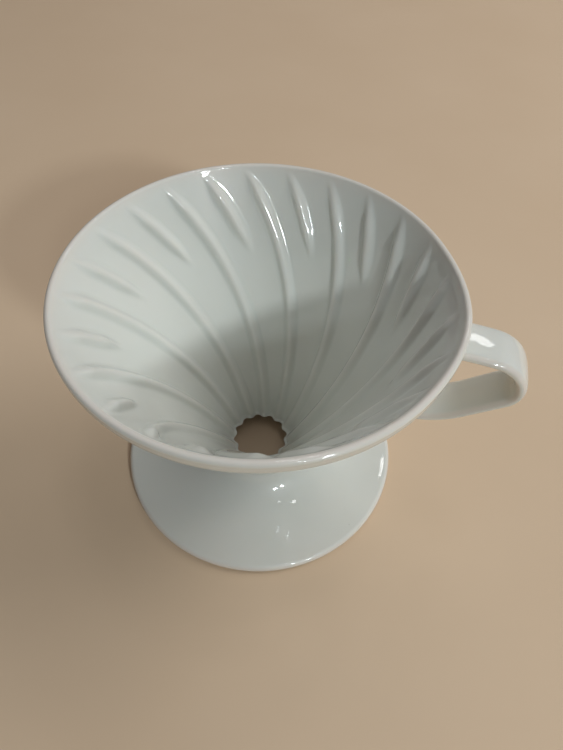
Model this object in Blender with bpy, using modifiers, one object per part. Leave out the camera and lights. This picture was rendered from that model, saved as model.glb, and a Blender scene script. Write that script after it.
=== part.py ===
"""Pour over dripper in glazed porcelain.

A ribbed filter cone stands in a flared saucer base and carries a strap handle on +X.
Each was formed on its own and luted to the next with slip, so the fired slip at each
joint is a piece too. Nothing moves. Metres, +Z up, and the object stands on z = 0.
"""
from math import ceil, cos, pi, radians, sin, sqrt, tan

import bmesh
import bpy
import numpy as np
from mathutils import Vector

MM = 0.001

# Cone and lip
HEIGHT = 93.9 * MM
RIM_RADIUS = 60.0 * MM
WALL = 3.6 * MM
CONE_HALF_ANGLE = radians(27.75)
INSIDE_HALF_ANGLE = radians(28.2)
OUTLET_Z = 5.8 * MM
LIP_RADIUS = 1.2 * MM
BAND_FOOT = HEIGHT - 3.6 * MM
RIM_PULL = 1.1 * MM
PULL_ANGLE = radians(30)
PULL_FOOT = HEIGHT - 5.6 * MM

# Ribs: long ones run to the outlet, and short ones stand half way between them
RIB_PAIRS = 12
RIB_HEIGHT = 1.6 * MM
OUTLET_RIB_HEIGHT = 1.0 * MM
RIB_WIDTH = 6.8 * MM
OUTLET_RIB_WIDTH = 4.4 * MM
RIB_TOP_DEPTH = 0.9 * MM
RIB_RAMP = 7.0 * MM
RIB_TIP_WIDTH = 0.55
SHORT_RIB_DEPTH = 28.0 * MM
SHORT_RIB_TAPER = 11.0 * MM
RIB_SWIRL = radians(57.8)
SWIRL_EASE = radians(14.0)
FIRST_RIB = radians(19.8)

# Saucer base
BASE_RADIUS = 53.5 * MM
BASE_EDGE = 3.4 * MM
COLLAR_RADIUS = 22.4 * MM
COLLAR_TOP = 16.0 * MM
BASE_WALL = 3.2 * MM
FOOT_INNER_RADIUS = 41.5 * MM
SEAM_TOP = 21.0 * MM

# Strap handle, in the plane y = 0, with distances out from the cone's axis
STRAP_WIDTH = 14.6 * MM
STRAP_THICKNESS = 4.0 * MM
STRAP_CORNER = 1.8 * MM
STRAP_CROWN = 0.42
STRAP_Z = HEIGHT - 9.05 * MM
TOP_RUN = 15.1 * MM
TOP_DROOP = radians(7.5)
SHOULDER_RADIUS = 12.4 * MM
SHOULDER_ANGLE = radians(69)
ELBOW_RADIUS = 7.1 * MM
ELBOW_ANGLE = radians(62)
LOWER_RUN = 14.0 * MM
TAIL_RADIUS = 26.0 * MM
TAIL_ANGLE = radians(48)
TAIL_LENGTH = 12.0 * MM

# Joints: a gap keeps touching pieces apart, and slip is the fired layer between them
GAP = 0.3 * MM
SLIP = 1.0 * MM
SLIP_BEAD = 1.2 * MM

LIP_CENTRE = (RIM_RADIUS - LIP_RADIUS, HEIGHT - LIP_RADIUS)
STRAP_REACH = 82.9 * MM
AXIS_X = (RIM_RADIUS - STRAP_REACH) / 2

COLUMNS_PER_PAIR = 12
COLUMNS = RIB_PAIRS * COLUMNS_PER_PAIR
PAIR_ANGLE = 2 * pi / RIB_PAIRS
TURNED_STEPS = 72
MERGE = 0.00005


def clear_scene():
    for obj in list(bpy.data.objects):
        bpy.data.objects.remove(obj, do_unlink=True)


def collection(name):
    group = bpy.data.collections.new(name)
    bpy.context.scene.collection.children.link(group)
    return group


def porcelain(name, colour, roughness):
    material = bpy.data.materials.new(name)
    material.use_nodes = True
    shader = material.node_tree.nodes["Principled BSDF"]
    shader.inputs["Base Color"].default_value = (*colour, 1.0)
    shader.inputs["Roughness"].default_value = roughness
    shader.inputs["Metallic"].default_value = 0.0
    return material


def add_piece(name, mesh, group, material=None, parent=None):
    obj = bpy.data.objects.new(name, mesh)
    group.objects.link(obj)
    if material:
        mesh.materials.append(material)
    if parent:
        obj.parent = parent
    return obj


def smooth(mesh, angle=40):
    mesh.shade_smooth()
    mesh.set_sharp_from_angle(angle=radians(angle))


def wall_radius(z, offset=0.0):
    """Radius at height z of the cone's middle surface, moved outward along its normal."""
    return RIM_RADIUS - (BAND_FOOT - z) * tan(CONE_HALF_ANGLE) + (offset - WALL / 2) / cos(CONE_HALF_ANGLE)


def inside_radius(z):
    """Radius of the inside between the ribs: it opens a little faster, so the wall thins upward."""
    middle = LIP_CENTRE[0] - (LIP_CENTRE[1] - z) * tan(INSIDE_HALF_ANGLE)
    return middle - LIP_RADIUS / cos(INSIDE_HALF_ANGLE)


def ease(value):
    value = min(max(value, 0.0), 1.0)
    return value * value * (3 - 2 * value)


def pull(angle, z):
    """How far the rim is drawn outward over the handle."""
    away = abs((angle + pi) % (2 * pi) - pi)
    return RIM_PULL * ease(1 - away / PULL_ANGLE) * ease((z - PULL_FOOT) / (HEIGHT - PULL_FOOT) * 1.6)


# ---------------------------------------------------------------- ribbed cone

def swirl(depth):
    """How far the ribs have turned, at a depth below the rim."""
    run = depth / (HEIGHT - OUTLET_Z)
    return RIB_SWIRL * run - SWIRL_EASE * run * run


def rib_shapes(depth):
    """Half width as an angle and height, of the long ribs and of the short ones."""
    run = depth / (HEIGHT - OUTLET_Z)
    rise = ease((depth - RIB_TOP_DEPTH) / RIB_RAMP)
    fall = ease((SHORT_RIB_DEPTH - depth) / SHORT_RIB_TAPER)
    half = (RIB_WIDTH + (OUTLET_RIB_WIDTH - RIB_WIDTH) * run) / 2 / inside_radius(HEIGHT - depth)
    half *= RIB_TIP_WIDTH + (1 - RIB_TIP_WIDTH) * rise
    height = (RIB_HEIGHT + (OUTLET_RIB_HEIGHT - RIB_HEIGHT) * run) * rise
    short_half = half * (RIB_TIP_WIDTH + (1 - RIB_TIP_WIDTH) * fall)
    return (half, height), (min(short_half, 0.7 * (PAIR_ANGLE / 2 - half)), height * fall)


def rib_columns(depth):
    """Angles and relief across one pair: long rib, flat, short rib, flat."""
    long_rib, short_rib = rib_shapes(depth)
    flat_shift = (long_rib[0] - short_rib[0]) / 2
    angles, relief = [], []
    for centre, (half, height) in ((0.0, long_rib), (PAIR_ANGLE / 2, short_rib)):
        for step in (-1.0, -0.5, 0.0, 0.5, 1.0):
            angles.append(centre + half * step)
            relief.append(height * cos(step * pi / 2) ** 2)
        angles.append(centre + PAIR_ANGLE / 4 + (flat_shift if centre == 0 else -flat_shift))
        relief.append(0.0)
    return angles, relief


def inner_loop(depth):
    z = HEIGHT - depth
    angles, relief = rib_columns(depth)
    loop = []
    for pair in range(RIB_PAIRS):
        for angle, height in zip(angles, relief):
            around = FIRST_RIB + pair * PAIR_ANGLE + angle - swirl(depth)
            reach = inside_radius(z) - height / cos(INSIDE_HALF_ANGLE) + pull(around, z)
            loop.append((reach * cos(around), reach * sin(around), z))
    return loop


def plain_loop(radius, z, blend=1.0):
    """A round loop whose columns lie between the ribs' spacing (blend 0) and an even one (1)."""
    angles, _ = rib_columns(RIB_TOP_DEPTH)
    loop = []
    for pair in range(RIB_PAIRS):
        for column, angle in enumerate(angles):
            even = (column - 2) * PAIR_ANGLE / COLUMNS_PER_PAIR
            around = FIRST_RIB + pair * PAIR_ANGLE + angle + blend * (even - angle)
            reach = radius + pull(around, z)
            loop.append((reach * cos(around), reach * sin(around), z))
    return loop


def cone_loops():
    top = LIP_RADIUS * (1 - sin(INSIDE_HALF_ANGLE))
    depths = [top, 2.2 * MM, 4.0 * MM, 6.0 * MM]
    depths += list(np.linspace(9 * MM, 34 * MM, 7))
    depths += list(np.linspace(41 * MM, HEIGHT - OUTLET_Z, 7))
    loops = [inner_loop(depth) for depth in depths]
    outer_heights = [OUTLET_Z, 35 * MM, 62 * MM, PULL_FOOT, BAND_FOOT]
    loops += [plain_loop(wall_radius(z, WALL / 2), z) for z in outer_heights]
    lip_steps = 6
    for step in range(lip_steps):
        around = (pi - INSIDE_HALF_ANGLE) * step / lip_steps
        radius = LIP_CENTRE[0] + LIP_RADIUS * cos(around)
        loops.append(plain_loop(radius, LIP_CENTRE[1] + LIP_RADIUS * sin(around), 1 - step / lip_steps))
    return loops, len(depths)


def cone_mesh():
    """A closed loft: down the ribbed inside, across the outlet's end, up the outside, over the lip."""
    loops, inside = cone_loops()
    shape = bmesh.new()
    rows = [[shape.verts.new(point) for point in loop] for loop in loops]
    turned_columns = round(swirl(HEIGHT - OUTLET_Z) / (PAIR_ANGLE / COLUMNS_PER_PAIR))
    for index, row in enumerate(rows):
        below = rows[(index + 1) % len(rows)]
        shift = turned_columns if index == inside - 1 else 0
        for column in range(COLUMNS):
            after = (column + 1) % COLUMNS
            shape.faces.new((row[column], row[after], below[after - shift], below[column - shift]))
    bmesh.ops.recalc_face_normals(shape, faces=shape.faces)
    mesh = bpy.data.meshes.new("ribbed_cone")
    shape.to_mesh(mesh)
    shape.free()
    smooth(mesh)
    return mesh


# ---------------------------------------------------------------- turned pieces

def turned(name, profile, group, material, parent):
    """Turn a closed profile of (radius, height) points about the cone's axis."""
    mesh = bpy.data.meshes.new(name)
    count = len(profile)
    edges = [(index, (index + 1) % count) for index in range(count)]
    mesh.from_pydata([(radius, 0.0, z) for radius, z in profile], edges, [])
    obj = add_piece(name, mesh, group, material, parent)
    screw = obj.modifiers.new("turn", "SCREW")
    screw.steps = TURNED_STEPS
    screw.render_steps = TURNED_STEPS
    screw.use_merge_vertices = True
    screw.merge_threshold = MERGE
    screw.use_smooth_shade = True
    return obj


def flare(angle, inset=0.0):
    """A point on the saucer's elliptical flare: 0 at the collar, a right angle at the edge."""
    across = BASE_RADIUS - BASE_EDGE / 2 - COLLAR_RADIUS
    drop = COLLAR_TOP - BASE_EDGE
    radius = COLLAR_RADIUS + across * (1 - cos(angle))
    z = COLLAR_TOP - drop * sin(angle)
    normal = Vector((cos(angle) / across, sin(angle) / drop)).normalized()
    return radius - inset * normal.x, z - inset * normal.y


def base_profile():
    points = [(wall_radius(COLLAR_TOP, WALL / 2 + GAP), COLLAR_TOP)]
    points += [flare(angle) for angle in np.linspace(0, pi / 2, 12)]
    edge_radius = BASE_EDGE / 2
    edge_centre = BASE_RADIUS - edge_radius
    for angle in np.linspace(pi / 2, -pi / 2, 7)[1:]:
        points.append((edge_centre + edge_radius * cos(angle), edge_radius * (1 + sin(angle))))
    points.append((FOOT_INNER_RADIUS, 0.0))
    points += [flare(angle, BASE_WALL) for angle in np.linspace(radians(70), radians(26), 6)]
    underside = points[-1][1]
    points.append((wall_radius(underside, WALL / 2 + GAP), underside))
    return points


def base_seam_profile():
    low = COLLAR_TOP + GAP
    inner_low = wall_radius(low, WALL / 2 + GAP)
    inner_high = wall_radius(SEAM_TOP, WALL / 2 + GAP)
    top = (inner_high + GAP, SEAM_TOP)
    foot = (COLLAR_RADIUS, low)
    waist = ((top[0] + foot[0]) / 2 - 0.5 * MM, (top[1] + foot[1]) / 2)
    return [(inner_high, SEAM_TOP), top, waist, foot, (inner_low, low)]


# ---------------------------------------------------------------- strap handle

def strap_path():
    """Centre line of the strap in the plane y = 0, from the rim round to the lower cone."""
    start = RIM_RADIUS - 4.8 * MM
    point, heading = (start, STRAP_Z), 0.0
    points = [(start - 10 * MM, STRAP_Z), point]
    for length, turn, steps in ((TOP_RUN, TOP_DROOP, 2), (SHOULDER_RADIUS * SHOULDER_ANGLE, SHOULDER_ANGLE, 6),
                                (ELBOW_RADIUS * ELBOW_ANGLE, ELBOW_ANGLE, 6), (LOWER_RUN, 0.0, 1),
                                (TAIL_RADIUS * TAIL_ANGLE, TAIL_ANGLE, 5), (TAIL_LENGTH, 0.0, 1)):
        for _ in range(steps):
            heading -= turn / steps / 2
            point = (point[0] + length / steps * cos(heading), point[1] + length / steps * sin(heading))
            heading -= turn / steps / 2
            points.append(point)
    return points


def section_curve(name, margin, group):
    """Crowned oblong swept along a path: across the strap in x, through it in y."""
    half_width = STRAP_WIDTH / 2 + margin
    half_thick = STRAP_THICKNESS / 2 + margin
    points = []
    for quarter in range(4):
        centre_x = (half_width - STRAP_CORNER) * (1 if quarter in (0, 3) else -1)
        centre_y = (half_thick - STRAP_CORNER) * (1 if quarter < 2 else -1)
        for step in range(4):
            angle = pi / 2 * (quarter + step / 3)
            points.append((centre_x + STRAP_CORNER * cos(angle), centre_y + STRAP_CORNER * sin(angle)))
        if quarter in (0, 2):
            points += [(centre_x * share, points[-1][1]) for share in (0.5, 0.0, -0.5)]
    crowned = [(x, y * (1 - STRAP_CROWN * (x / half_width) ** 2), 0.0) for x, y in points]
    obj = poly_curve(name, crowned, group, closed=True)
    obj.hide_render = True
    obj.display_type = "WIRE"
    return obj


def poly_curve(name, points, group, closed=False):
    curve = bpy.data.curves.new(name, "CURVE")
    curve.dimensions = "2D" if closed else "3D"
    curve.fill_mode = "NONE" if closed else "FULL"
    spline = curve.splines.new("POLY")
    spline.points.add(len(points) - 1)
    for target, point in zip(spline.points, points):
        target.co = (*point, 1.0)
    spline.use_cyclic_u = closed
    obj = bpy.data.objects.new(name, curve)
    group.objects.link(obj)
    return obj


def swept(name, points, section, group, material, parent):
    """Sweep a section along points given as (distance from the axis, height), as a closed mesh."""
    guide = poly_curve(name + "_path", [(reach, 0.0, z) for reach, z in points], group)
    guide.data.bevel_mode = "OBJECT"
    guide.data.bevel_object = section
    guide.data.use_fill_caps = True
    graph = bpy.context.evaluated_depsgraph_get()
    mesh = bpy.data.meshes.new_from_object(guide.evaluated_get(graph))
    bpy.data.objects.remove(guide, do_unlink=True)
    shape = bmesh.new()
    shape.from_mesh(mesh)
    bmesh.ops.remove_doubles(shape, verts=shape.verts, dist=MERGE)
    bmesh.ops.recalc_face_normals(shape, faces=shape.faces)
    shape.to_mesh(mesh)
    shape.free()
    mesh.name = name
    smooth(mesh)
    return add_piece(name, mesh, group, material, parent)


def cone_cutter(name, clearance, group, parent):
    """Solid cone that stands this far outside the cone's outer wall."""
    low, high = OUTLET_Z, HEIGHT + WALL
    offset = WALL / 2 + clearance
    mesh = bpy.data.meshes.new(name)
    shape = bmesh.new()
    bmesh.ops.create_cone(shape, cap_ends=True, segments=COLUMNS, radius1=wall_radius(low, offset),
                          radius2=wall_radius(high, offset), depth=high - low)
    bmesh.ops.translate(shape, verts=shape.verts, vec=(0, 0, (low + high) / 2))
    shape.to_mesh(mesh)
    shape.free()
    obj = add_piece(name, mesh, group, parent=parent)
    obj.hide_render = True
    obj.display_type = "WIRE"
    return obj


def cut(obj, cutter, operation):
    boolean = obj.modifiers.new(cutter.name, "BOOLEAN")
    boolean.operation = operation
    boolean.object = cutter
    boolean.solver = "EXACT"


def build():
    clear_scene()
    parts = collection("pour_over_dripper")
    cutters = collection("cutters")
    glaze = porcelain("clear glazed porcelain", (0.66, 0.69, 0.65), 0.12)
    slip = porcelain("glazed luting slip", (0.64, 0.67, 0.63), 0.16)

    axis = bpy.data.objects.new("cone_axis", None)
    axis.location = (AXIS_X, 0.0, 0.0)
    parts.objects.link(axis)

    add_piece("ribbed_cone", cone_mesh(), parts, glaze, axis)
    turned("saucer_base", base_profile(), parts, glaze, axis)
    turned("base_slip_joint", base_seam_profile(), parts, slip, axis)

    slip_inside = cone_cutter("slip_inside", GAP, cutters, axis)
    slip_outside = cone_cutter("slip_outside", GAP + SLIP, cutters, axis)
    strap_inside = cone_cutter("strap_inside", 2 * GAP + SLIP, cutters, axis)
    strap_section = section_curve("strap_section", 0.0, cutters)
    bead_section = section_curve("bead_section", SLIP_BEAD, cutters)

    path = strap_path()
    strap = swept("strap_handle", path, strap_section, parts, glaze, axis)
    cut(strap, strap_inside, "DIFFERENCE")
    for name, ends in (("upper_slip_joint", path[:3]), ("lower_slip_joint", path[-2:])):
        bead = swept(name, ends, bead_section, parts, slip, axis)
        cut(bead, slip_inside, "DIFFERENCE")
        cut(bead, slip_outside, "INTERSECT")


build()
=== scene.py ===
"""Pour over dripper in glazed porcelain: its finished surfaces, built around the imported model.

The sections follow the order of making: the ribbed cone, the saucer base, the slip that lutes
them, the strap handle and the slip at its two ends. The table, lamps and camera come last.
"""
from math import atan2, ceil, cos, degrees, exp, hypot, pi, radians, sin, sqrt, tan

import bmesh
import bpy
import numpy as np
from mathutils import Matrix, Vector


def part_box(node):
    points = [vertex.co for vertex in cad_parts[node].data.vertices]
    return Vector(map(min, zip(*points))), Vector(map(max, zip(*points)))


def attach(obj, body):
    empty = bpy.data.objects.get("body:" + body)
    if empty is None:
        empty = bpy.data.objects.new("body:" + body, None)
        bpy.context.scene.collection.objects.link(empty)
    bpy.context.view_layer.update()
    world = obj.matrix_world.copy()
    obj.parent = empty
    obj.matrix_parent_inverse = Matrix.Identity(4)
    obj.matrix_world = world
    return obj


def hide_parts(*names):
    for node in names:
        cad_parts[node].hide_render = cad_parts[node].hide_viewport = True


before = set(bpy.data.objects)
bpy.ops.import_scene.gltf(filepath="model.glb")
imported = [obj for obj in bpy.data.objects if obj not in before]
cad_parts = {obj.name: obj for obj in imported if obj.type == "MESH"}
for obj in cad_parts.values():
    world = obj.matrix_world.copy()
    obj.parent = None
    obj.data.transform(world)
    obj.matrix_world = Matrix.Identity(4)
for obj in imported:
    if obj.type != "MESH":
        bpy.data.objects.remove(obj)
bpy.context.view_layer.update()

MM = 0.001


# ------------------------------------------------------------------ ribbed cone
# The filter cone is porcelain, slip cast over a plaster core that has the ribs cut into it, so the
# ribs are clay of the cone's own wall. Twelve long ones run down to the outlet, and twelve short
# ones stand half way between them. The whole piece is dipped in clear gloss glaze and fired.

cone_low, cone_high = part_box("ribbed_cone")
base_low, base_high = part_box("saucer_base")
AXIS_X = (base_low.x + base_high.x) / 2
HEIGHT = cone_high.z
OUTLET_Z = cone_low.z
RIM_RADIUS = (cone_high.y - cone_low.y) / 2
WALL = 3.6 * MM
CONE_HALF_ANGLE = radians(27.75)
INSIDE_HALF_ANGLE = radians(28.2)
LIP_RADIUS = 1.2 * MM
LIP_CENTRE = (RIM_RADIUS - LIP_RADIUS, HEIGHT - LIP_RADIUS)
BAND_FOOT = HEIGHT - 3.6 * MM
BAND_EASE = 1.6 * MM
OUTLET_ROUNDING = 1.0 * MM
RIM_PULL = cone_high.x - AXIS_X - RIM_RADIUS
PULL_ANGLE = radians(30)
PULL_FOOT = HEIGHT - 5.6 * MM
PULL_QUICKNESS = 1.6

RIB_PAIRS = 12
RIB_HEIGHT = 1.6 * MM
OUTLET_RIB_HEIGHT = 1.0 * MM
RIB_WIDTH = 6.8 * MM
OUTLET_RIB_WIDTH = 5.2 * MM
RIB_TOP_DEPTH = 0.9 * MM
RIB_RAMP = 9.0 * MM
RIB_TIP_WIDTH = 0.55
RIB_FULLNESS = 1.7
SHORT_RIB_DEPTH = 28.0 * MM
SHORT_RIB_TAPER = 11.0 * MM
RIB_SWIRL = radians(57.8)
SWIRL_EASE = radians(14.0)
FIRST_RIB = radians(19.8)
PAIR_ANGLE = 2 * pi / RIB_PAIRS
SHORT_RIB_SHARE = 0.7
RIB_STEPS = 14
FLAT_STEPS = 6

EVEN_GLAZE = 0.5
RUN_DOWN = 0.16
THIN_AT_LIP = 0.30
THIN_DEPTH = 2.0 * MM
GATHER_BESIDE_RIB = 0.10
THIN_ON_LIP = 0.35
THIN_AT_OUTLET = 0.15
CLAY_WHITE = "E6DDD3"
GLAZE_WHITE = "DFE0D9"
GLAZE_DEEP = "CBD2CA"
BARE_CLAY_WHITE = "DDD5C8"
PINHOLE_GREY = "7E776C"
DRIFT_SIZE = 24 * MM
PINHOLE_SPACING = 11 * MM
PEEL_SIZE = 3.2 * MM
PEEL_DEPTH = 0.02 * MM


def wall_radius(z, offset=0.0):
    """Radius at height z of the cone's middle surface, moved outward along its normal."""
    outside = RIM_RADIUS - (BAND_FOOT - z) * tan(CONE_HALF_ANGLE)
    return outside + (offset - WALL / 2) / cos(CONE_HALF_ANGLE)


def inside_radius(z):
    """Radius of the inside between the ribs: it opens a little faster, so the wall thins upward."""
    middle = LIP_CENTRE[0] - (LIP_CENTRE[1] - z) * tan(INSIDE_HALF_ANGLE)
    return middle - LIP_RADIUS / cos(INSIDE_HALF_ANGLE)


def outside_radius(z):
    """Radius of the outside: the cone's wall, easing into an upright band under the lip."""
    gap = (BAND_FOOT - z) * tan(CONE_HALF_ANGLE)
    return RIM_RADIUS - (gap + sqrt(gap * gap + (BAND_EASE / 4) ** 2)) / 2


def ease(value):
    """Smooth step from 0 to 1."""
    value = min(max(value, 0.0), 1.0)
    return value * value * (3 - 2 * value)


def rib_law(depth):
    """At a depth below the rim: the ribs' turn, then each kind's half width as an angle and height."""
    run = depth / (HEIGHT - OUTLET_Z)
    turn = RIB_SWIRL * run - SWIRL_EASE * run * run
    rise = ease((depth - RIB_TOP_DEPTH) / RIB_RAMP)
    fall = ease((SHORT_RIB_DEPTH - depth) / SHORT_RIB_TAPER)
    half = (RIB_WIDTH + (OUTLET_RIB_WIDTH - RIB_WIDTH) * run) / 2 / inside_radius(HEIGHT - depth)
    half *= RIB_TIP_WIDTH + (1 - RIB_TIP_WIDTH) * rise
    height = (RIB_HEIGHT + (OUTLET_RIB_HEIGHT - RIB_HEIGHT) * run ** 3) * rise
    short_half = half * (RIB_TIP_WIDTH + (1 - RIB_TIP_WIDTH) * fall)
    short_half = min(short_half, SHORT_RIB_SHARE * (PAIR_ANGLE / 2 - half))
    return turn, ((half, height), (short_half, height * fall))


def rib_columns(depth):
    """Round the cone at one depth: each column's angle, its rib relief and how the glaze gathers."""
    turn, (long_rib, short_rib) = rib_law(depth)
    across = np.linspace(-1, 1, RIB_STEPS + 1)
    along_flat = np.linspace(0, 1, FLAT_STEPS + 1)[1:-1]
    angles, relief, glaze = [], [], []
    kinds = ((0.0, long_rib, short_rib), (PAIR_ANGLE / 2, short_rib, long_rib))
    for centre, (half, height), (next_half, _) in kinds:
        flat_start = centre + half
        flat_end = centre + PAIR_ANGLE / 2 - next_half
        angles += [centre + half * across, flat_start + (flat_end - flat_start) * along_flat]
        relief += [height * np.cos(across * pi / 2).clip(0) ** RIB_FULLNESS, 0 * along_flat]
        glaze += [-height / RIB_HEIGHT * np.cos(across * pi), 0 * along_flat]
    angles, relief, glaze = (np.concatenate(part) for part in (angles, relief, glaze))
    pairs = FIRST_RIB + PAIR_ANGLE * np.arange(RIB_PAIRS)[:, None] - turn
    return (pairs + angles).ravel(), np.tile(relief, RIB_PAIRS), np.tile(glaze, RIB_PAIRS)


def rim_pull(angles, z):
    """How far the rim is drawn outward over the strap, as clay is when a handle is pressed on."""
    away = abs((angles + pi) % (2 * pi) - pi)
    near = np.clip(1 - away / PULL_ANGLE, 0, 1)
    rise = ease((z - PULL_FOOT) / (HEIGHT - PULL_FOOT) * PULL_QUICKNESS)
    return RIM_PULL * near * near * (3 - 2 * near) * rise


def ring(angles, radii, z):
    """Points round the cone's axis at one height."""
    radii = radii + rim_pull(angles, np.mean(z))
    return np.stack([AXIS_X + radii * np.cos(angles), radii * np.sin(angles), z + 0 * angles], axis=1)


def skin(name, rings, glaze, capped=False):
    """A closed mesh of quads over rings of points, the last joined to the first or both capped.

    Glaze thickness is kept at each point, for the material to read.
    """
    rows, columns = len(rings), len(rings[0])
    index = np.arange(rows * columns).reshape(rows, columns)
    upper = index if not capped else index[:-1]
    lower = np.roll(index, -1, axis=0)[:len(upper)]
    quads = np.stack([upper, np.roll(upper, -1, 1), np.roll(lower, -1, 1), lower], axis=-1)
    faces = quads.reshape(-1, 4).tolist()
    if capped:
        faces += [index[0][::-1].tolist(), index[-1].tolist()]
    mesh = bpy.data.meshes.new(name)
    mesh.from_pydata(np.concatenate(rings).tolist(), [], faces)
    layer = mesh.attributes.new("glaze", "FLOAT", "POINT")
    layer.data.foreach_set("value", np.concatenate(glaze).astype(np.float32))
    shape = bmesh.new()
    shape.from_mesh(mesh)
    bmesh.ops.recalc_face_normals(shape, faces=shape.faces)
    shape.to_mesh(mesh)
    shape.free()
    mesh.shade_smooth()
    piece = bpy.data.objects.new(name, mesh)
    bpy.context.scene.collection.objects.link(piece)
    return piece


def linear(colour):
    """An sRGB hex colour as linear RGBA."""
    parts = [int(colour[place:place + 2], 16) / 255 for place in (0, 2, 4)]
    parts = [part / 12.92 if part <= 0.04045 else ((part + 0.055) / 1.055) ** 2.4 for part in parts]
    return (*parts, 1.0)


def add_node(tree, kind, inputs=None, **settings):
    """Add a node, set its properties, and link or fill its inputs."""
    node = tree.nodes.new(kind)
    for key, value in settings.items():
        setattr(node, key, value)
    for key, value in (inputs or {}).items():
        if isinstance(value, bpy.types.NodeSocket):
            tree.links.new(value, node.inputs[key])
        else:
            node.inputs[key].default_value = value
    return node


def glazed_porcelain(name):
    """Porcelain under a clear gloss glaze: white, a little warm where the glaze is thin over an edge
    and cool grey-green where it has run together, with a glassy skin that is very slightly wavy.
    Where the glaze was wiped off, the clay shows matt and creamy."""
    material = bpy.data.materials.new(name)
    material.use_nodes = True
    tree = material.node_tree
    shader = tree.nodes["Principled BSDF"]
    place = add_node(tree, "ShaderNodeTexCoord").outputs["Object"]
    thickness = add_node(tree, "ShaderNodeAttribute", attribute_name="glaze").outputs["Fac"]

    drift = add_node(tree, "ShaderNodeTexNoise",
                     {"Vector": place, "Scale": 1 / DRIFT_SIZE, "Detail": 3.0})
    shifted = add_node(tree, "ShaderNodeMath", {0: drift.outputs["Fac"], 1: 0.30, 2: thickness},
                       operation="MULTIPLY_ADD")
    centred = add_node(tree, "ShaderNodeMath", {0: shifted.outputs[0], 1: 0.15}, operation="SUBTRACT")
    tint = add_node(tree, "ShaderNodeValToRGB", {"Fac": centred.outputs[0]})
    tint.color_ramp.elements[0].color = linear(CLAY_WHITE)
    tint.color_ramp.elements[1].color = linear(GLAZE_DEEP)
    middle = tint.color_ramp.elements.new(0.5)
    middle.color = linear(GLAZE_WHITE)

    cells = add_node(tree, "ShaderNodeTexVoronoi", {"Vector": place, "Scale": 1 / PINHOLE_SPACING})
    pit = add_node(tree, "ShaderNodeMapRange",
                   {"Value": cells.outputs["Distance"], "From Min": 0.010, "From Max": 0.028,
                    "To Min": 1.0, "To Max": 0.0}, interpolation_type="SMOOTHSTEP")
    chance = add_node(tree, "ShaderNodeSeparateColor", {"Color": cells.outputs["Color"]})
    chosen = add_node(tree, "ShaderNodeMath", {0: chance.outputs[0], 1: 0.72},
                      operation="GREATER_THAN")
    pinhole = add_node(tree, "ShaderNodeMath", {0: pit.outputs[0], 1: chosen.outputs[0]},
                       operation="MULTIPLY")
    darken = add_node(tree, "ShaderNodeMath", {0: pinhole.outputs[0], 1: 0.22}, operation="MULTIPLY")
    colour = add_node(tree, "ShaderNodeMix", {"Factor": darken.outputs[0], "A": tint.outputs["Color"],
                                              "B": linear(PINHOLE_GREY)}, data_type="RGBA")
    bare = add_node(tree, "ShaderNodeMapRange",
                    {"Value": thickness, "From Min": -0.6, "From Max": -0.1, "To Min": 1.0, "To Max": 0.0})
    body = add_node(tree, "ShaderNodeMix", {"Factor": bare.outputs[0], "A": colour.outputs["Result"],
                                            "B": linear(BARE_CLAY_WHITE)}, data_type="RGBA")
    tree.links.new(body.outputs["Result"], shader.inputs["Base Color"])

    peel = add_node(tree, "ShaderNodeTexNoise",
                    {"Vector": place, "Scale": 1 / PEEL_SIZE, "Detail": 1.0})
    sunk = add_node(tree, "ShaderNodeMath", {0: pinhole.outputs[0], 1: -1.5, 2: peel.outputs["Fac"]},
                    operation="MULTIPLY_ADD")
    wavy = add_node(tree, "ShaderNodeBump", {"Height": sunk.outputs[0], "Distance": PEEL_DEPTH,
                                             "Strength": 0.8})
    tree.links.new(wavy.outputs["Normal"], shader.inputs["Normal"])
    tree.links.new(wavy.outputs["Normal"], shader.inputs["Coat Normal"])
    sheen = add_node(tree, "ShaderNodeMapRange", {"Value": drift.outputs["Fac"], "To Min": 0.30,
                                                  "To Max": 0.46})
    matt = add_node(tree, "ShaderNodeMath", {0: bare.outputs[0], 1: 0.4, 2: sheen.outputs[0]},
                    operation="MULTIPLY_ADD")
    tree.links.new(matt.outputs[0], shader.inputs["Roughness"])
    glassy = add_node(tree, "ShaderNodeMath", {0: 1.0, 1: bare.outputs[0]}, operation="SUBTRACT")
    tree.links.new(glassy.outputs[0], shader.inputs["Coat Weight"])
    shader.inputs["IOR"].default_value = 1.5
    shader.inputs["Specular IOR Level"].default_value = 0.25
    shader.inputs["Coat Roughness"].default_value = 0.04
    shader.inputs["Coat IOR"].default_value = 1.5
    shader.inputs["Subsurface Weight"].default_value = 0.12
    shader.inputs["Subsurface Radius"].default_value = (1.0, 0.8, 0.6)
    shader.inputs["Subsurface Scale"].default_value = 1.5 * MM
    return material


def inside_rows():
    """Depths down the inside, closest where the ribs rise and where the short ones run out."""
    top = LIP_RADIUS * (1 - sin(INSIDE_HALF_ANGLE))
    return np.concatenate([np.linspace(top, 10 * MM, 30), np.linspace(10.6 * MM, 34 * MM, 40),
                           np.linspace(35 * MM, HEIGHT - OUTLET_Z - OUTLET_ROUNDING, 50)])


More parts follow.
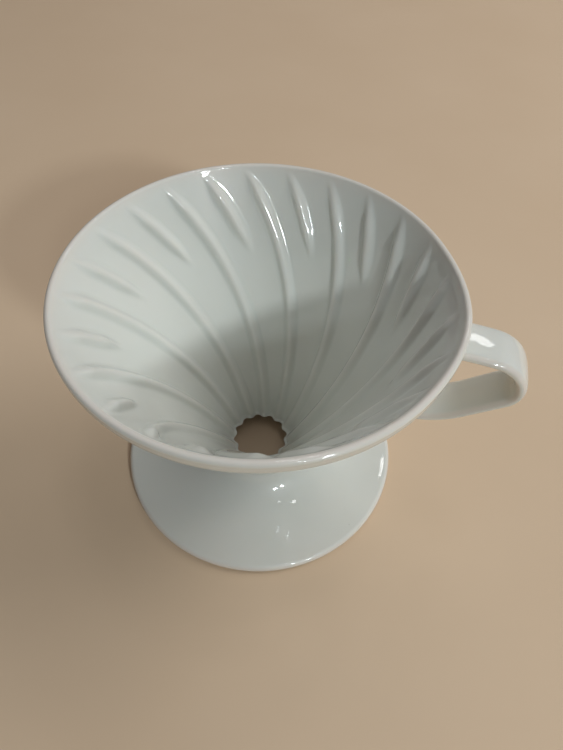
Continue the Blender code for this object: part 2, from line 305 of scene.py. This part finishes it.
def cone_rings():
    """Down the ribbed inside, round the outlet's end, up the plain outside and over the lip."""
    rings, glaze = [], []
    for depth in inside_rows():
        angles, relief, gather = rib_columns(depth)
        radii = inside_radius(HEIGHT - depth) - relief / cos(INSIDE_HALF_ANGLE)
        rings.append(ring(angles, radii, HEIGHT - depth))
        run_down = RUN_DOWN * depth / HEIGHT
        thin_at_lip = THIN_AT_LIP * exp(-depth / THIN_DEPTH)
        glaze.append(EVEN_GLAZE + run_down - thin_at_lip + GATHER_BESIDE_RIB * gather)
    angles, relief, _ = rib_columns(HEIGHT - OUTLET_Z)
    inner = inside_radius(OUTLET_Z) - relief / cos(INSIDE_HALF_ANGLE)
    outer = outside_radius(OUTLET_Z)
    middle = (inner + outer) / 2
    for share in np.cos(np.linspace(pi, 0, 15)):
        radii = middle + (outer - inner) / 2 * share
        into_corner = np.maximum(abs(radii - middle) - (outer - inner) / 2 + OUTLET_ROUNDING, 0)
        lift = OUTLET_ROUNDING - np.sqrt(np.maximum(OUTLET_ROUNDING ** 2 - into_corner ** 2, 0))
        rings.append(ring(angles, radii, OUTLET_Z + lift))
        glaze.append(0 * angles + EVEN_GLAZE - THIN_AT_OUTLET)
    up = np.concatenate([np.linspace(OUTLET_Z + 1.5 * OUTLET_ROUNDING, BAND_FOOT - 5 * MM, 18),
                         np.linspace(BAND_FOOT - 4 * MM, LIP_CENTRE[1] - 0.2 * MM, 12)])
    for z in up:
        angles, _, _ = rib_columns(HEIGHT - z)
        rings.append(ring(angles, outside_radius(z), z))
        glaze.append(0 * angles + EVEN_GLAZE)
    for around in np.linspace(0, pi - INSIDE_HALF_ANGLE, 16)[:-1]:
        z = LIP_CENTRE[1] + LIP_RADIUS * sin(around)
        angles, _, _ = rib_columns(HEIGHT - z)
        rings.append(ring(angles, LIP_CENTRE[0] + LIP_RADIUS * cos(around), z))
        glaze.append(0 * angles + EVEN_GLAZE - THIN_ON_LIP * sin(around) ** 2)
    return rings, glaze


cone = skin("porcelain_cone", *cone_rings())
cone.data.materials.append(glazed_porcelain("cast_porcelain_clear_glazed"))
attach(cone, "root")
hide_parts("ribbed_cone")


# ------------------------------------------------------------------ saucer base
# The base is porcelain pressed over a turning mould: a collar that takes the cone, a flare like a
# saucer and a rolled edge. It is glazed all over except its flat foot ring, which is wiped bare so
# that it doesn't stick in the kiln.

BASE_RADIUS = (base_high.x - base_low.x) / 2
BASE_EDGE = 3.4 * MM
COLLAR_RADIUS = 22.4 * MM
COLLAR_TOP = 16.0 * MM
BASE_WALL = 3.2 * MM
FOOT_INNER_RADIUS = 41.5 * MM
FOOT_ROUNDING = 0.6 * MM
TURNED_STEPS = 256
BARE_CLAY = -1.0


def flare(angle, inset=0.0):
    """A point on the saucer's elliptical flare: 0 at the collar, a right angle at the edge."""
    across = BASE_RADIUS - BASE_EDGE / 2 - COLLAR_RADIUS
    drop = COLLAR_TOP - BASE_EDGE
    radius = COLLAR_RADIUS + across * (1 - cos(angle))
    z = COLLAR_TOP - drop * sin(angle)
    normal = Vector((cos(angle) / across, sin(angle) / drop)).normalized()
    return radius - inset * normal.x, z - inset * normal.y


def base_profile():
    """Radius, height and glaze round the base's section, from the collar outward and back under."""
    points = [(wall_radius(COLLAR_TOP, WALL / 4), COLLAR_TOP, EVEN_GLAZE)]
    points += [(*flare(angle), EVEN_GLAZE + 0.1 * cos(angle)) for angle in np.linspace(0, pi / 2, 60)]
    edge_radius = BASE_EDGE / 2
    edge_centre = BASE_RADIUS - edge_radius
    for angle in np.linspace(pi / 2, -pi / 2, 25)[1:]:
        glaze = EVEN_GLAZE - 0.4 * cos(angle) ** 2
        points.append((edge_centre + edge_radius * cos(angle), edge_radius * (1 + sin(angle)), glaze))
    for radius in np.linspace(edge_centre - 0.5 * MM, FOOT_INNER_RADIUS + FOOT_ROUNDING, 14):
        points.append((radius, 0.0, BARE_CLAY))
    for angle in np.linspace(-pi / 2, -pi, 6)[1:]:
        radius = FOOT_INNER_RADIUS + FOOT_ROUNDING * (1 + cos(angle))
        points.append((radius, FOOT_ROUNDING * (1 + sin(angle)), EVEN_GLAZE))
    for angle in np.linspace(radians(70), radians(24), 26):
        points.append((*flare(angle, BASE_WALL), EVEN_GLAZE))
    underside = points[-1][1]
    points.append((wall_radius(underside, WALL / 4), underside, EVEN_GLAZE))
    return points


def turned(name, profile):
    """Turn a closed section of (radius, height, glaze) points about the cone's axis."""
    angles = np.linspace(0, 2 * pi, TURNED_STEPS, endpoint=False)
    rings = [ring(angles, radius, z) for radius, z, _ in profile]
    return skin(name, rings, [0 * angles + glaze for _, _, glaze in profile])


base = turned("porcelain_base", base_profile())
base.data.materials.append(glazed_porcelain("pressed_porcelain_clear_glazed"))
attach(base, "root")
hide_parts("saucer_base")


# ------------------------------------------------------------------ slip at the base
# Cone and base are luted with slip while leather hard. The slip squeezed out round the collar is
# wiped to a hollow fillet with a wet sponge, and the glaze runs into it and fires a little deeper.

FILLET_FOOT = COLLAR_TOP - 1.0 * MM
FILLET_TOP = 27.0 * MM
SUNK = 0.03 * MM


def bend(start, corner, end, share):
    """A point on the hollow curve that leaves start and meets end pointing at the corner."""
    return start * (1 - share) ** 2 + corner * 2 * share * (1 - share) + end * share ** 2


def base_fillet_profile():
    start = Vector((COLLAR_RADIUS - SUNK, FILLET_FOOT))
    meeting = BAND_FOOT - (RIM_RADIUS - COLLAR_RADIUS) / tan(CONE_HALF_ANGLE)
    corner = Vector((COLLAR_RADIUS - SUNK, meeting))
    end = Vector((wall_radius(FILLET_TOP, WALL / 2 - SUNK), FILLET_TOP))
    points = []
    for share in np.linspace(0, 1, 25):
        point = bend(start, corner, end, share)
        points.append((point.x, point.y, EVEN_GLAZE + 0.4 * sin(pi * share)))
    points.append((wall_radius(FILLET_TOP, 0.0), FILLET_TOP, EVEN_GLAZE))
    points.append((wall_radius(FILLET_FOOT, 0.0), FILLET_FOOT, EVEN_GLAZE))
    return points


base_slip = turned("slip_fillet_at_base", base_fillet_profile())
base_slip.data.materials.append(glazed_porcelain("sponged_slip_clear_glazed"))
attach(base_slip, "root")
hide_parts("base_slip_joint")


# ------------------------------------------------------------------ strap handle
# The handle is a strap of porcelain, pressed to a crowned section with thin rounded edges and bent
# round a former while soft. Its top droops a little from below the rim, and its lower end sweeps in
# to the cone.

strap_low, strap_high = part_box("strap_handle")
STRAP_HALF_WIDTH = (strap_high.y - strap_low.y) / 2
STRAP_HALF_THICK = 2.0 * MM
STRAP_CORNER = 1.75 * MM
STRAP_CROWN = 0.42
STRAP_Z = HEIGHT - 9.05 * MM
STRAP_START = RIM_RADIUS - 4.8 * MM
THIN_AT_EDGE = 0.7
TOP_RUN = 15.05 * MM
TOP_DROOP = radians(7.5)
SHOULDER_RADIUS = 12.4 * MM
SHOULDER_ANGLE = radians(69)
ELBOW_RADIUS = 7.1 * MM
ELBOW_ANGLE = radians(62)
LOWER_RUN = 14.0 * MM
TAIL_RADIUS = 26.0 * MM
TAIL_ANGLE = radians(48)
TAIL_LENGTH = 9.5 * MM
STRAP_STEP = 0.8 * MM


def strap_path():
    """Points (distance from the axis, height, heading) along the strap's middle line."""
    reach, z, heading = STRAP_START, STRAP_Z, 0.0
    runs = ((TOP_RUN, -TOP_DROOP), (SHOULDER_RADIUS * SHOULDER_ANGLE, -SHOULDER_ANGLE),
            (ELBOW_RADIUS * ELBOW_ANGLE, -ELBOW_ANGLE), (LOWER_RUN, 0.0),
            (TAIL_RADIUS * TAIL_ANGLE, -TAIL_ANGLE), (TAIL_LENGTH, 0.0))
    points = [(reach, z, heading)]
    for length, turn in runs:
        steps = ceil(length / STRAP_STEP)
        chord = length / steps
        for _ in range(steps):
            heading += turn / steps / 2
            reach += chord * cos(heading)
            z += chord * sin(heading)
            heading += turn / steps / 2
            points.append((reach, z, heading))
    return points


def strap_section():
    """Outline of the strap's section, crowned and thin at its edges, with its outward normals."""
    outline, normals = [], []
    for quarter in range(4):
        side_x = 1 if quarter in (0, 3) else -1
        side_y = 1 if quarter < 2 else -1
        for step in range(8):
            angle = pi / 2 * (quarter + step / 7)
            x = side_x * (STRAP_HALF_WIDTH - STRAP_CORNER) + STRAP_CORNER * cos(angle)
            y = side_y * (STRAP_HALF_THICK - STRAP_CORNER) + STRAP_CORNER * sin(angle)
            outline.append((x, y))
            normals.append((cos(angle), sin(angle)))
        across_from = outline[-1]
        if quarter in (0, 2):
            for share in np.linspace(0, 1, 18)[1:-1]:
                x = across_from[0] * (1 - 2 * share)
                outline.append((x, across_from[1]))
                normals.append((0.0, 1.0 if quarter == 0 else -1.0))
    crowned = [(x, y * (1 - STRAP_CROWN * abs(x / STRAP_HALF_WIDTH) ** 3)) for x, y in outline]
    return crowned, normals


def strap_rings():
    """The section carried along the path, square to it, each ring with its glaze."""
    outline, normals = strap_section()
    rings, glaze = [], []
    for reach, z, heading in strap_path():
        points = [(AXIS_X + reach - y * sin(heading), x, z + y * cos(heading)) for x, y in outline]
        rings.append(np.array(points))
        edge = np.array([abs(normal[0] * normal[1]) for normal in normals])
        glaze.append(EVEN_GLAZE - THIN_AT_EDGE * edge)
    return rings, glaze


strap = skin("porcelain_strap", *strap_rings(), capped=True)
strap.data.materials.append(glazed_porcelain("pressed_strap_clear_glazed"))
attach(strap, "root")
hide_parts("strap_handle")


# ------------------------------------------------------------------ slip at the handle
# Each end of the strap is scored, slipped and pressed on to the leather-hard cone. The slip that
# comes out is drawn round into a hollow fillet, so that strap and wall run together.

UPPER_FILLET = 2.6 * MM
LOWER_FILLET = 4.0 * MM
INSIDE_CLAY = 0.8 * MM


def on_wall(point, along, offset):
    """Where the line through a point meets the cone's wall at an offset from its middle surface."""
    slope = tan(CONE_HALF_ANGLE)
    x, y = point.x - AXIS_X, point.y
    radius = wall_radius(point.z, offset)
    a = along.x ** 2 + along.y ** 2 - (slope * along.z) ** 2
    b = 2 * (x * along.x + y * along.y - radius * slope * along.z)
    c = x * x + y * y - radius * radius
    root = sqrt(b * b - 4 * a * c)
    nearest = min(((-b - root) / (2 * a), (-b + root) / (2 * a)), key=abs)
    return point + along * nearest


def wall_normal(point):
    """Outward normal of the cone's wall beside a point."""
    around = Vector((point.x - AXIS_X, point.y, 0.0)).normalized()
    return around * cos(CONE_HALF_ANGLE) - Vector((0, 0, sin(CONE_HALF_ANGLE)))


def strap_fillet(name, end, towards_wall, size):
    """A ring of slip round one end of the strap, hollow between strap and wall."""
    reach, z, heading = end
    along = Vector((cos(heading), 0.0, sin(heading))) * towards_wall
    outline, normals = strap_section()
    columns = []
    for (x, y), (normal_x, normal_y) in zip(outline, normals):
        spot = Vector((AXIS_X + reach - y * sin(heading), x, z + y * cos(heading)))
        outward = Vector((-normal_y * sin(heading), normal_x, normal_y * cos(heading)))
        corner = on_wall(spot, along, WALL / 2)
        start = corner - along * size - outward * SUNK
        beside = corner + outward * size
        finish = on_wall(beside, wall_normal(beside), WALL / 2 - SUNK)
        column = [bend(start, corner, finish, share) for share in np.linspace(0, 1, 17)]
        column.append(on_wall(beside, wall_normal(beside), WALL / 2 - INSIDE_CLAY))
        column.append(on_wall(spot - outward * INSIDE_CLAY, along, WALL / 2 - INSIDE_CLAY))
        column.append(start - outward * INSIDE_CLAY)
        columns.append(column)
    rings = [np.array([column[row] for column in columns]) for row in range(len(columns[0]))]
    glaze = [np.full(len(columns), EVEN_GLAZE + 0.3) for _ in rings]
    return skin(name, rings, glaze)


path = strap_path()
upper_slip = strap_fillet("slip_fillet_at_rim", path[0], -1, UPPER_FILLET)
lower_slip = strap_fillet("slip_fillet_below", path[-1], 1, LOWER_FILLET)
fillet_glaze = glazed_porcelain("drawn_slip_clear_glazed")
for slip, node in ((upper_slip, "upper_slip_joint"), (lower_slip, "lower_slip_joint")):
    slip.data.materials.append(fillet_glaze)
    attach(slip, "root")
    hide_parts(node)


# ------------------------------------------------------------------ table, lamps and camera
# A plain pale table top under studio light: a key lamp and a weaker one beside it, large softboxes
# that only fill, and small lamps in two rows overhead that the glaze reflects as points.

TABLE_SIZE = 3.0
MOTTLE_SIZE = 120 * MM
SOFTBOX_SIZE = 0.9
LAMP_DISTANCE = 1.6
SPOT_SIZE = 0.10
SPOT_WATTS = 0.32
CEILING = 2.0
CEILING_SPOTS = ((0.76, -0.81), (0.33, -0.13), (0.15, 0.20), (0.0, 0.46), (0.93, -0.41),
                 (0.54, 0.0), (0.32, 0.28), (0.19, 0.46), (0.30, 1.20))
ROOM_COLOUR = "FFE6E0"
ROOM_LIGHT = 0.045


def pale_table(name):
    """Pale lacquered board, nearly matt: a plain warm surface with a faint soft mottle."""
    material = bpy.data.materials.new(name)
    material.use_nodes = True
    tree = material.node_tree
    shader = tree.nodes["Principled BSDF"]
    place = add_node(tree, "ShaderNodeTexCoord").outputs["Object"]
    mottle = add_node(tree, "ShaderNodeTexNoise",
                      {"Vector": place, "Scale": 1 / MOTTLE_SIZE, "Detail": 4.0})
    tone = add_node(tree, "ShaderNodeValToRGB", {"Fac": mottle.outputs["Fac"]})
    tone.color_ramp.elements[0].color = linear("D6BC9E")
    tone.color_ramp.elements[1].color = linear("E0C8AC")
    tree.links.new(tone.outputs["Color"], shader.inputs["Base Color"])
    shader.inputs["Roughness"].default_value = 0.55
    return material


def lamp(name, azimuth, elevation, distance, width, height, watts, colour="FFFFFF"):
    """A soft rectangular lamp aimed at the dripper from a direction round it."""
    light = bpy.data.lights.new(name, "AREA")
    light.shape = "RECTANGLE"
    light.size = width
    light.size_y = height
    light.energy = watts
    light.color = linear(colour)[:3]
    turn, rise = radians(azimuth), radians(elevation)
    out = Vector((cos(turn) * cos(rise), sin(turn) * cos(rise), sin(rise)))
    target = Vector((AXIS_X, 0.0, HEIGHT))
    obj = bpy.data.objects.new(name, light)
    obj.location = target + out * distance
    obj.rotation_euler = out.to_track_quat("Z", "Y").to_euler()
    bpy.context.scene.collection.objects.link(obj)
    return obj


table_mesh = bpy.data.meshes.new("table")
half = TABLE_SIZE / 2
table_mesh.from_pydata([(-half, -half, 0), (half, -half, 0), (half, half, 0), (-half, half, 0)], [],
                       [(0, 1, 2, 3)])
table = bpy.data.objects.new("table", table_mesh)
table.location.z = -SUNK
bpy.context.scene.collection.objects.link(table)
table_mesh.materials.append(pale_table("pale_board"))

lamp("key_lamp", -45, 29, LAMP_DISTANCE, 0.12, 0.12, 7.4, "F3FCFF")
lamp("second_lamp", -55, 34, LAMP_DISTANCE, 0.12, 0.12, 2.8, "ECF9FF")
lamp("window_panel", 62, 41, 2.0, 0.24, 0.16, 0.8)
for name, azimuth, elevation, watts in (("side_softbox", 30, 40, 10.4), ("back_softbox", 90, 45, 3.8),
                                        ("left_softbox", 165, 45, 1.1)):
    softbox = lamp(name, azimuth, elevation, LAMP_DISTANCE, SOFTBOX_SIZE, SOFTBOX_SIZE, watts)
    softbox.visible_glossy = False
for number, (x, y) in enumerate(CEILING_SPOTS):
    lamp(f"ceiling_spot_{number + 1}", degrees(atan2(y, x)), degrees(atan2(CEILING, hypot(x, y))),
         hypot(x, y, CEILING), SPOT_SIZE, SPOT_SIZE, SPOT_WATTS)

room = bpy.data.worlds.new("pale_room")
room.use_nodes = True
room.node_tree.nodes["Background"].inputs["Color"].default_value = linear(ROOM_COLOUR)
room.node_tree.nodes["Background"].inputs["Strength"].default_value = ROOM_LIGHT
bpy.context.scene.world = room

CAMERA_SPOT = Vector((30.9 * MM, -115.4 * MM, 206.1 * MM))
CAMERA_TURN = radians(11.3)
CAMERA_TILT = radians(52.8)
CAMERA_ROLL = radians(2.3)
CAMERA_LENS = 26.9

camera_data = bpy.data.cameras.new("camera")
camera_data.sensor_width = 36.0
camera_data.lens = CAMERA_LENS
camera_data.clip_start = 10 * MM
camera = bpy.data.objects.new("camera", camera_data)
camera.location = CAMERA_SPOT + Vector((AXIS_X, 0.0, 0.0))
aim = (Matrix.Rotation(CAMERA_TURN, 4, "Z") @ Matrix.Rotation(pi / 2 - CAMERA_TILT, 4, "X")
       @ Matrix.Rotation(CAMERA_ROLL, 4, "Z"))
camera.rotation_euler = aim.to_euler()
bpy.context.scene.collection.objects.link(camera)
bpy.context.scene.camera = camera
bpy.context.scene.view_settings.view_transform = "Standard"
